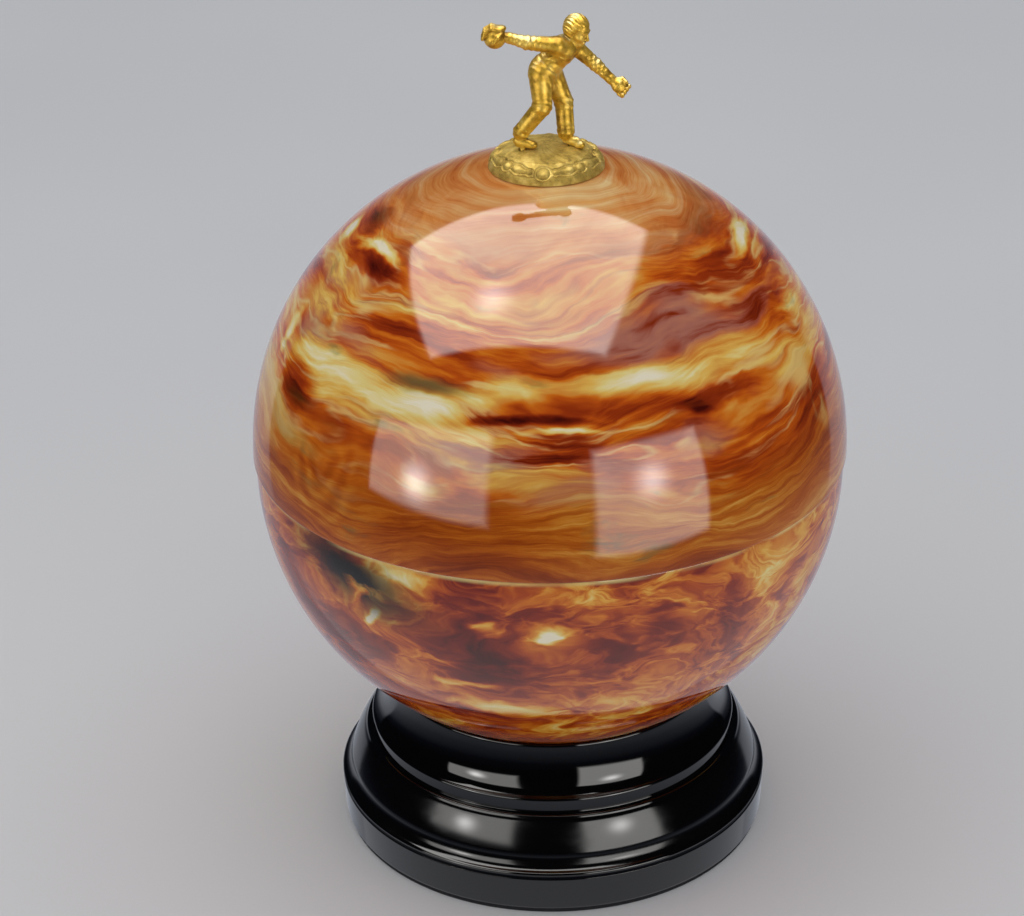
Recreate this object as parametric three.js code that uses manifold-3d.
// A drinks set in the shape of a bowling ball, in millimetres, +Z up, standing on z = 0 with its axis on Z.
//
// The ball is two moulded plastic half shells. The lower one is the bowl. It sits in a black plinth, and one
// long bolt clamps plinth, bowl, spacer and rack tray together. The upper one is the lid: it drops over a
// spigot on the bowl's rim and carries a cast bowler on a domed foot. Inside, a brass rack on three pillars
// holds a glass decanter on the axis and six shot glasses round it.
import * as THREE from "three";
import { mergeVertices } from "three/addons/utils/BufferGeometryUtils.js";
import Module from "manifold-3d";

// ---------------------------------------------------------------- driving dimensions
const BALL_R = 109; // outside of the lid
const OVERHANG = 1; // the lid stands this far out past the bowl
const WALL = 4; // both half shells
const BOWL_CENTRE = 150; // height of the centre of the bowl's half sphere
const LID_CENTRE = 155; // and of the lid's: a short straight band joins the two halves
const SEAM = 154.6; // lower edge of the lid
const SPIGOT_TOP = 160.3;
const SPIGOT_INNER_R = 101.4;
const GAP = 0.3; // left between pieces that touch
const SLIP = 0.6; // radial play of the lid on its spigot

const FOOT_R = 80.9;
const CUP_GAP = 2.2; // between the bowl and the plinth's cup, filled by a gasket at the bolt
const CUP_WALL = 3.6;
const FELT = 1.6; // thickness of the felt ring the set stands on

const BOLT_R = 2.5;
const BOLT_HOLE_R = 3.2;
const PAD_R = 12.5; // flat pads round the bolt, under the plinth and in the bowl
const LID_PAD_R = 10; // flat pad inside the top of the lid
const TRAY_Z = 74.2;
const SHEET = 1.4; // brass sheet of the tray and the gallery plate
const TRAY_R = 66;
const PLATE_Z = 160;
const PLATE_R = 93;
const PILLAR_RING_R = 59;
const GLASS_RING_R = 68;
const GLASSES = 6;
const PILLARS = 3;

const GLASS_H = 58;
const GLASS_BASE_R = 16;
const GLASS_RIM_R = 22.5;
const GLASS_IN_PLATE = 36; // height of the glass at which it hangs in its hole
const BOTTLE_R = 41;

const STUD_R = 2; // finial stud through the top of the lid
const DOME_R = 20.6;
const DOME_TOP = 270.5;

const ROUND = 36; // facets round the large turned pieces
const GLASS_ROUND = 20; // and round the glassware
const SMALL_ROUND = 12; // and round hardware
const HALF_PI = Math.PI / 2;

const BOWL_R = BALL_R - OVERHANG;
const BOWL_INNER_R = BOWL_R - WALL;
const LID_INNER_R = BALL_R - WALL;
const CUP_R = BOWL_R + CUP_GAP;

const sphereHeight = (radius, r) => Math.sqrt(radius * radius - r * r);
const DECK_UNDER = BOWL_CENTRE - CUP_R - CUP_WALL;
const DECK_TOP = BOWL_CENTRE - CUP_R;
const LID_CEILING = LID_CENTRE + sphereHeight(LID_INNER_R, LID_PAD_R);
const BOWL_FLOOR = BOWL_CENTRE - sphereHeight(BOWL_INNER_R, PAD_R) + 0.8;

// ---------------------------------------------------------------- solids
const wasm = await Module();
wasm.setup();

// Turns a profile of (radius, height) about Z. Profiles run up the outside and down the inside, and either
// start and end on the axis or close on themselves.
function turned(path, facets = ROUND, steps = 3) {
  return new THREE.LatheGeometry(path.getPoints(steps), facets).rotateX(HALF_PI);
}

// A plain ring or washer of rectangular section.
function ring(innerR, outerR, bottom, top, facets = SMALL_ROUND) {
  const path = new THREE.Path()
    .moveTo(innerR, bottom)
    .lineTo(outerR, bottom)
    .lineTo(outerR, top)
    .lineTo(innerR, top);
  path.closePath();
  return turned(path, facets);
}

function rod(radius, bottom, top, facets = SMALL_ROUND) {
  return new THREE.CylinderGeometry(radius, radius, top - bottom, facets)
    .rotateX(HALF_PI)
    .translate(0, 0, (bottom + top) / 2);
}

function toSolid(geometry) {
  const bare = new THREE.BufferGeometry();
  bare.setAttribute("position", geometry.getAttribute("position"));
  bare.setIndex(geometry.index);
  const merged = mergeVertices(bare, 1e-4);
  return new wasm.Manifold(
    new wasm.Mesh({
      numProp: 3,
      vertProperties: merged.attributes.position.array,
      triVerts: new Uint32Array(merged.index.array),
    }),
  );
}

function toGeometry(solid) {
  const { vertProperties, triVerts } = solid.getMesh();
  const geometry = new THREE.BufferGeometry();
  geometry.setAttribute("position", new THREE.BufferAttribute(vertProperties, 3));
  geometry.setIndex(new THREE.BufferAttribute(triVerts, 1));
  geometry.computeVertexNormals();
  return geometry;
}

function joined(geometries) {
  return toGeometry(geometries.map(toSolid).reduce((all, one) => all.add(one)));
}

function cut(geometry, tools) {
  return toGeometry(tools.map(toSolid).reduce((body, tool) => body.subtract(tool), toSolid(geometry)));
}

// Point number i of a ring of n points.
function onRing(radius, i, n, startAngle = 0) {
  const angle = startAngle + (2 * Math.PI * i) / n;
  return new THREE.Vector3(radius * Math.cos(angle), radius * Math.sin(angle), 0);
}

// ---------------------------------------------------------------- finishes
const finish = (color, roughness, metalness = 0, opacity = 1) =>
  new THREE.MeshStandardMaterial({ color, roughness, metalness, opacity, transparent: opacity < 1 });

const marbledLid = finish(0xb5692c, 0.12);
const marbledBowl = finish(0x8a3f1c, 0.12);
const blackPhenolic = finish(0x0b0b0d, 0.2);
const blackFelt = finish(0x151515, 0.95);
const gilt = finish(0xd9a520, 0.28, 1);
const wornGilt = finish(0xa08a3c, 0.45, 1);
const brass = finish(0xc9a24a, 0.25, 1);
const steel = finish(0x9a9ca0, 0.35, 1);
const rubber = finish(0x1c1c1c, 0.9);
const fibre = finish(0x7a2f1c, 0.8);
const cork = finish(0xb98a5a, 0.9);
const clearGlass = finish(0xe8f0f0, 0.03, 0, 0.35);

const set = new THREE.Group();

function add(name, geometry, material, position = new THREE.Vector3()) {
  const mesh = new THREE.Mesh(geometry, material);
  mesh.name = name;
  mesh.position.copy(position);
  set.add(mesh);
}

// ---------------------------------------------------------------- the ball
function lidShell() {
  const hole = STUD_R + 2 * GAP;
  const path = new THREE.Path()
    .moveTo(LID_INNER_R, SEAM)
    .lineTo(BALL_R, SEAM)
    .absarc(0, LID_CENTRE, BALL_R, 0, Math.acos(hole / BALL_R))
    .lineTo(hole, LID_CEILING)
    .lineTo(LID_PAD_R, LID_CEILING)
    .absarc(0, LID_CENTRE, LID_INNER_R, Math.acos(LID_PAD_R / LID_INNER_R), 0, true);
  path.closePath();
  return turned(path, ROUND, 4);
}

function bowlShell() {
  const spigotR = LID_INNER_R - SLIP;
  const spigotFoot = -Math.acos(SPIGOT_INNER_R / BOWL_INNER_R);
  const path = new THREE.Path()
    .moveTo(BOLT_HOLE_R, BOWL_CENTRE - sphereHeight(BOWL_R, BOLT_HOLE_R))
    .absarc(0, BOWL_CENTRE, BOWL_R, -Math.acos(BOLT_HOLE_R / BOWL_R), 0)
    .lineTo(BOWL_R, SEAM - GAP)
    .lineTo(spigotR, SEAM - GAP)
    .lineTo(spigotR, SPIGOT_TOP)
    .lineTo(SPIGOT_INNER_R, SPIGOT_TOP)
    .absarc(0, BOWL_CENTRE, BOWL_INNER_R, spigotFoot, -Math.acos(PAD_R / BOWL_INNER_R), true)
    .lineTo(PAD_R, BOWL_FLOOR)
    .lineTo(BOLT_HOLE_R, BOWL_FLOOR);
  path.closePath();
  return turned(path, ROUND, 4);
}

// ---------------------------------------------------------------- the plinth
// Above an upright band come a short cove and a rounded cone, then a plain fillet, then a tall cove that rises
// to a thin lip round the ball. The top is a cup that follows the ball, and the underside is hollow.
function plinth() {
  const underR = CUP_R + CUP_WALL;
  const footZ = FELT + GAP;
  const path = new THREE.Path()
    .moveTo(72.4, footZ)
    .lineTo(FOOT_R, footZ)
    .lineTo(81.6, 16)
    .lineTo(81.1, 16.6) // fine groove over the band
    .lineTo(81.8, 17.4)
    .quadraticCurveTo(78.2, 18.4, 78, 21.8) // short cove
    .bezierCurveTo(76.7, 30.4, 72, 34.6, 71.8, 36) // rounded cone
    .lineTo(69.4, 36.7)
    .lineTo(69.3, 41.4) // fillet
    .bezierCurveTo(64.8, 45.2, 62.8, 52.5, 62.5, 60) // tall cove
    .lineTo(61.9, 60.9)
    .lineTo(61.1, 60.5) // the lip all but touches the bowl
    .absarc(0, BOWL_CENTRE, CUP_R, -Math.acos(60.2 / CUP_R), -Math.acos(BOLT_HOLE_R / CUP_R), true)
    .lineTo(BOLT_HOLE_R, DECK_UNDER)
    .lineTo(PAD_R, DECK_UNDER)
    .absarc(0, BOWL_CENTRE, underR, -Math.acos(PAD_R / underR), -Math.acos(58 / underR))
    .lineTo(61.2, 44.6)
    .lineTo(65.6, 39.6)
    .lineTo(66, 34.4)
    .lineTo(69.6, 32.4)
    .lineTo(73.6, 27.4)
    .lineTo(74.6, 20)
    .lineTo(77.4, 15)
    .lineTo(77.2, 6)
    .lineTo(72.4, 4.6);
  path.closePath();
  return turned(path, ROUND, 3);
}

// ---------------------------------------------------------------- the through bolt and what it clamps
// The bottom and top of a piece of the given height that rests on the given surface.
function stack(surface, height) {
  return [surface + GAP, surface + GAP + height];
}

const BOLT_HEAD_H = 3.9;
const BOLT_WASHER = stack(DECK_UNDER - 2 * GAP - 1.2, 1.2);
const UPPER_GASKET = stack(BOWL_FLOOR, 1.2);
const NUT_WASHER = stack(TRAY_Z + SHEET, 1);
const NUT = stack(NUT_WASHER[1], 3.4);
const BOLT_END = NUT[1] + 1.9;

// A hexagonal nut or bolt head from its width across flats.
function hexagon(acrossFlats, bottom, top) {
  return rod(acrossFlats / 2 / Math.cos(Math.PI / 6), bottom, top, 6);
}

function bolt() {
  const headTop = BOLT_WASHER[0] - GAP;
  return joined([hexagon(8, headTop - BOLT_HEAD_H, headTop), rod(BOLT_R, headTop - 1, BOLT_END)]);
}

function nut(acrossFlats, holeR, bottom, top) {
  return cut(hexagon(acrossFlats, bottom, top), [rod(holeR, bottom - 1, top + 1)]);
}

// ---------------------------------------------------------------- the rack
const pillarSpots = Array.from({ length: PILLARS }, (_, i) =>
  onRing(PILLAR_RING_R, i, PILLARS, Math.PI / GLASSES),
);
const glassSpots = Array.from({ length: GLASSES }, (_, i) => onRing(GLASS_RING_R, i, GLASSES));
const PILLAR_R = 2.7;
const PILLAR_BORE_R = 1.5; // threaded from below for its screw
const PILLAR_BORE_TOP = 81.5;
const PILLAR_TOP = 168.2;
const PILLAR_STUD_R = 1.6;

function tray() {
  const rimH = 5;
  const lip = SHEET / 2;
  const path = new THREE.Path()
    .moveTo(BOLT_HOLE_R, TRAY_Z)
    .lineTo(TRAY_R - 3, TRAY_Z)
    .quadraticCurveTo(TRAY_R, TRAY_Z, TRAY_R, TRAY_Z + 3)
    .lineTo(TRAY_R, TRAY_Z + rimH)
    .absarc(TRAY_R - lip, TRAY_Z + rimH, lip, 0, Math.PI)
    .lineTo(TRAY_R - SHEET, TRAY_Z + 3)
    .quadraticCurveTo(TRAY_R - SHEET, TRAY_Z + SHEET, TRAY_R - 3, TRAY_Z + SHEET)
    .lineTo(BOLT_HOLE_R, TRAY_Z + SHEET);
  path.closePath();
  const holes = pillarSpots.map((at) =>
    rod(1.7, TRAY_Z - 1, TRAY_Z + SHEET + 1).translate(at.x, at.y, 0),
  );
  return cut(turned(path, ROUND, 1), holes);
}

function galleryPlate() {
  const beadR = 1.7;
  const holeR = 20.6;
  const path = new THREE.Path()
    .moveTo(BOTTLE_R + 2.5, PLATE_Z)
    .lineTo(PLATE_R - 2 * beadR, PLATE_Z)
    .absarc(PLATE_R - beadR, PLATE_Z + SHEET / 2, beadR, -2.6, 2.6)
    .lineTo(PLATE_R - 2 * beadR, PLATE_Z + SHEET)
    .lineTo(BOTTLE_R + 2.5, PLATE_Z + SHEET);
  path.closePath();
  const through = (r, facets) => (at) =>
    rod(r, PLATE_Z - 1, PLATE_Z + SHEET + 1, facets).translate(at.x, at.y, 0);
  const holes = [
    ...glassSpots.map(through(holeR, GLASS_ROUND)),
    ...pillarSpots.map(through(PILLAR_STUD_R + 0.4, SMALL_ROUND)),
  ];
  return cut(turned(path, ROUND, 2), holes);
}

function pillar() {
  const bottom = TRAY_Z + SHEET + GAP;
  const shoulder = PLATE_Z - GAP;
  const path = new THREE.Path()
    .moveTo(0, PILLAR_BORE_TOP)
    .lineTo(PILLAR_BORE_R, PILLAR_BORE_TOP)
    .lineTo(PILLAR_BORE_R, bottom)
    .lineTo(PILLAR_R, bottom)
    .lineTo(PILLAR_R, shoulder)
    .lineTo(PILLAR_STUD_R, shoulder)
    .lineTo(PILLAR_STUD_R, PILLAR_TOP)
    .lineTo(0, PILLAR_TOP);
  return turned(path, SMALL_ROUND);
}

function pillarScrew() {
  const headTop = TRAY_Z - GAP;
  return joined([
    rod(3, headTop - 2, headTop),
    rod(PILLAR_BORE_R - 0.35, headTop - 1, PILLAR_BORE_TOP - 1),
  ]);
}

// A ball nut screwed on the pillar's stud.
function pillarKnob() {
  const r = 4.3;
  const bottom = PLATE_Z + SHEET + 2 * GAP;
  const centre = bottom + r - 0.7;
  const boreR = PILLAR_STUD_R + GAP;
  const path = new THREE.Path()
    .moveTo(0, PILLAR_TOP + GAP)
    .lineTo(boreR, PILLAR_TOP + GAP)
    .lineTo(boreR, bottom)
    .absarc(0, centre, r, -Math.acos(2.4 / r), HALF_PI);
  return turned(path, SMALL_ROUND, 2);
}

// ---------------------------------------------------------------- glassware
const BOTTLE_Z = TRAY_Z + SHEET + GAP;
const BOTTLE_LIP = 197;
const GLASS_Z = PLATE_Z - GLASS_IN_PLATE;

function decanter() {
  const wall = 4;
  const shoulderZ = 142;
  const neckR = 12.5;
  const innerR = BOTTLE_R - wall;
  const path = new THREE.Path()
    .moveTo(0, BOTTLE_Z + 8.4) // punt, which clears the rack nut
    .quadraticCurveTo(24, BOTTLE_Z + 8, 34, BOTTLE_Z)
    .lineTo(38, BOTTLE_Z)
    .quadraticCurveTo(BOTTLE_R, BOTTLE_Z, BOTTLE_R, BOTTLE_Z + 4)
    .lineTo(BOTTLE_R, shoulderZ)
    .bezierCurveTo(BOTTLE_R, shoulderZ + 20, neckR, shoulderZ + 18, neckR, shoulderZ + 36)
    .lineTo(neckR, BOTTLE_LIP - 6)
    .quadraticCurveTo(17, BOTTLE_LIP - 4, 16.5, BOTTLE_LIP - 1)
    .lineTo(15, BOTTLE_LIP)
    .lineTo(9.6, BOTTLE_LIP)
    .lineTo(8.8, BOTTLE_LIP - 21)
    .bezierCurveTo(9.5, shoulderZ + 14, innerR, shoulderZ + 18, innerR, shoulderZ)
    .lineTo(innerR, BOTTLE_Z + 14)
    .quadraticCurveTo(innerR, BOTTLE_Z + 9.5, 28, BOTTLE_Z + 11)
    .quadraticCurveTo(18, BOTTLE_Z + 12.4, 0, BOTTLE_Z + 12.6);
  return turned(path, GLASS_ROUND, 3);
}

function stopperCork() {
  const pegR = 4.8;
  const path = new THREE.Path()
    .moveTo(pegR, BOTTLE_LIP - 18)
    .lineTo(8.3, BOTTLE_LIP - 18)
    .lineTo(9.1, BOTTLE_LIP)
    .lineTo(pegR, BOTTLE_LIP);
  path.closePath();
  return turned(path, GLASS_ROUND);
}

function stopperKnob() {
  const flange = BOTTLE_LIP + GAP;
  const ballR = 13.5;
  const ballZ = flange + 17;
  const path = new THREE.Path()
    .moveTo(0, BOTTLE_LIP - 17)
    .lineTo(4.5, BOTTLE_LIP - 17)
    .lineTo(4.5, flange)
    .lineTo(13, flange)
    .lineTo(13, flange + 1.6)
    .quadraticCurveTo(7, flange + 2.6, 6.4, flange + 5)
    .absarc(0, ballZ, ballR, -Math.acos(6.4 / ballR), HALF_PI);
  return turned(path, GLASS_ROUND, 2);
}

function shotGlass() {
  const rim = GLASS_Z + GLASS_H;
  const path = new THREE.Path()
    .moveTo(0, GLASS_Z)
    .lineTo(GLASS_BASE_R - 0.8, GLASS_Z)
    .lineTo(GLASS_BASE_R, GLASS_Z + 1)
    .lineTo(GLASS_RIM_R, rim - 0.8)
    .quadraticCurveTo(GLASS_RIM_R - 0.9, rim, GLASS_RIM_R - 1.8, rim - 0.8)
    .lineTo(GLASS_BASE_R - 1.6, GLASS_Z + 10)
    .lineTo(GLASS_BASE_R - 4, GLASS_Z + 8.2)
    .lineTo(0, GLASS_Z + 7.6);
  return turned(path, GLASS_ROUND, 2);
}

// ---------------------------------------------------------------- the finial
const SOLE_Z = DOME_TOP + GAP;
const PEG_R = 1.1;
const rightPeg = new THREE.Vector3(-8.2, -4, 0);
const leftPeg = new THREE.Vector3(9, -0.9, 0);

// A hollow cast foot with a boss for the stud and two holes for the figure's pegs.
function dome() {
  const rim = 262.4;
  const boreR = STUD_R + GAP;
  const boreTop = DOME_TOP - 2.4;
  const path = new THREE.Path()
    .moveTo(0, boreTop)
    .lineTo(boreR, boreTop)
    .lineTo(boreR, rim + 2.1)
    .lineTo(5, rim + 2.1)
    .lineTo(5, DOME_TOP - 2.2)
    .lineTo(12, DOME_TOP - 3)
    .lineTo(16.4, DOME_TOP - 5)
    .lineTo(DOME_R - 1.8, rim)
    .lineTo(DOME_R, rim)
    .bezierCurveTo(DOME_R - 0.2, rim + 3.6, 17, rim + 5.9, 9, rim + 7.7)
    .quadraticCurveTo(5, DOME_TOP, 0, DOME_TOP);
  const holes = [rightPeg, leftPeg].map((at) =>
    rod(PEG_R + 0.4, DOME_TOP - 5, DOME_TOP + 1).translate(at.x, at.y, 0),
  );
  return cut(turned(path, 24, 3), holes);
}

// A tapered limb with rounded ends between two points.
function limb(from, to, fromR, toR, facets = 6) {
  const a = new THREE.Vector3(...from);
  const b = new THREE.Vector3(...to);
  const length = a.distanceTo(b);
  const path = new THREE.Path()
    .absarc(0, 0, fromR, -HALF_PI, 0)
    .absarc(0, length, toR, 0, HALF_PI);
  const turn = new THREE.Quaternion().setFromUnitVectors(
    new THREE.Vector3(0, 1, 0),
    b.clone().sub(a).normalize(),
  );
  return new THREE.LatheGeometry(path.getPoints(1), facets)
    .applyQuaternion(turn)
    .translate(a.x, a.y, a.z);
}

function ball(centre, rx, ry, rz, facets = 9) {
  return new THREE.SphereGeometry(1, facets, Math.round(facets * 0.7))
    .rotateX(HALF_PI)
    .scale(rx, ry, rz)
    .translate(...centre);
}

// The bowler strides towards +X. The right arm is swung back with the ball and the left reaches forward
// and down. Two pegs under the shoes pass through the dome.
function bowler() {
  const pelvis = [-0.6, -0.2, 298];
  const chest = [6.2, 0, 305.4];
  const rightLeg = { hip: [-1.8, -2.6, 297], knee: [-1.4, -4.8, 286], ankle: [-9.3, -3.6, 275.4] };
  const leftLeg = { hip: [1.6, 2.4, 296.6], knee: [6.2, 2.9, 285.2], ankle: [6.9, -0.4, 274.4] };
  const rightArm = { shoulder: [4.2, -4.4, 308], elbow: [-6.4, -5.6, 309.6], wrist: [-13.2, -5.5, 311.5] };
  const leftArm = { shoulder: [10, 4, 304.8], elbow: [17.8, 3, 298.4], wrist: [23.4, 0.8, 292.9] };
  const shoe = (ankle, toe) => [
    limb([ankle[0], ankle[1], SOLE_Z + 1.7], toe, 1.7, 1.4),
    limb(ankle, [ankle[0], ankle[1], SOLE_Z + 1.7], 2, 1.7),
  ];
  const peg = (at) => rod(PEG_R, DOME_TOP - 3.6, SOLE_Z + 1.6).translate(at.x, at.y, 0);
  return joined([
    limb(pelvis, chest, 4.6, 5),
    limb(rightLeg.hip, rightLeg.knee, 3.9, 3),
    limb(rightLeg.knee, rightLeg.ankle, 3, 2.3),
    limb(leftLeg.hip, leftLeg.knee, 3.9, 3),
    limb(leftLeg.knee, leftLeg.ankle, 3, 2.5),
    ...shoe(rightLeg.ankle, [-3.9, -5, SOLE_Z + 1.4]),
    ...shoe(leftLeg.ankle, [12.9, -2.2, SOLE_Z + 0.2]),
    limb(chest, rightArm.shoulder, 4.2, 3.2),
    limb(rightArm.shoulder, rightArm.elbow, 3, 2.2),
    limb(rightArm.elbow, rightArm.wrist, 2.2, 1.6),
    limb(rightArm.wrist, [-17.6, -5.2, 314], 1.7, 1.6),
    ball([-17.3, -5.2, 311.3], 3.9, 3.9, 3.9),
    limb(chest, leftArm.shoulder, 4.2, 3.1),
    limb(leftArm.shoulder, leftArm.elbow, 2.9, 2.1),
    limb(leftArm.elbow, leftArm.wrist, 2.1, 1.5),
    limb(leftArm.wrist, [28, -0.4, 289.9], 1.7, 2.2),
    limb([8, 0, 307], [10.6, -0.6, 311], 3, 2.6),
    ball([11.1, -0.8, 312.5], 4.6, 4.3, 5.9),
    peg(rightPeg),
    peg(leftPeg),
  ]);
}

// ---------------------------------------------------------------- assembly
add("base_felt_ring", ring(73, FOOT_R - 0.8, 0, FELT, ROUND), blackFelt);
add("base_plinth", plinth(), blackPhenolic);
add("bowl_gasket_lower", ring(BOLT_HOLE_R, 9, DECK_TOP + 0.7, DECK_TOP + 1.9), rubber);
add("bowl_shell", bowlShell(), marbledBowl);
add("bowl_gasket_upper", ring(BOLT_HOLE_R, 9, ...UPPER_GASKET), rubber);
add("rack_spacer", ring(BOLT_HOLE_R, 6.5, UPPER_GASKET[1] + GAP, TRAY_Z - GAP), brass);
add("base_bolt_washer", ring(BOLT_HOLE_R, 10.5, ...BOLT_WASHER), steel);
add("base_bolt", bolt(), steel);
add("rack_tray", tray(), brass);
add("rack_nut_washer", ring(BOLT_HOLE_R, 7, ...NUT_WASHER), steel);
add("rack_nut", nut(8, BOLT_R + GAP, ...NUT), steel);
add("gallery_plate", galleryPlate(), brass);
pillarSpots.forEach((at, i) => {
  add(`pillar_${i + 1}`, pillar(), brass, at);
  add(`pillar_screw_${i + 1}`, pillarScrew(), steel, at);
  add(`pillar_knob_${i + 1}`, pillarKnob(), brass, at);
});

add("decanter_bottle", decanter(), clearGlass);
add("stopper_cork", stopperCork(), cork);
add("stopper_knob", stopperKnob(), clearGlass);
glassSpots.forEach((at, i) => add(`shot_glass_${i + 1}`, shotGlass(), clearGlass, at));

const FIBRE_TOP = LID_CEILING - GAP;
add("lid_shell", lidShell(), marbledLid);
add("finial_fibre_washer", ring(STUD_R + 2 * GAP, 9, FIBRE_TOP - 1.2, FIBRE_TOP), fibre);
add("finial_steel_washer", ring(STUD_R + 2 * GAP, 6, FIBRE_TOP - 2.5, FIBRE_TOP - 1.5), steel);
add("finial_nut", nut(7, STUD_R + GAP, FIBRE_TOP - 6, FIBRE_TOP - 2.8), steel);
add("finial_stud", rod(STUD_R, FIBRE_TOP - 7.8, DOME_TOP - 2.8, SMALL_ROUND), steel);
add("finial_dome", dome(), wornGilt);
add("bowler_figure", bowler(), gilt);

export default set;
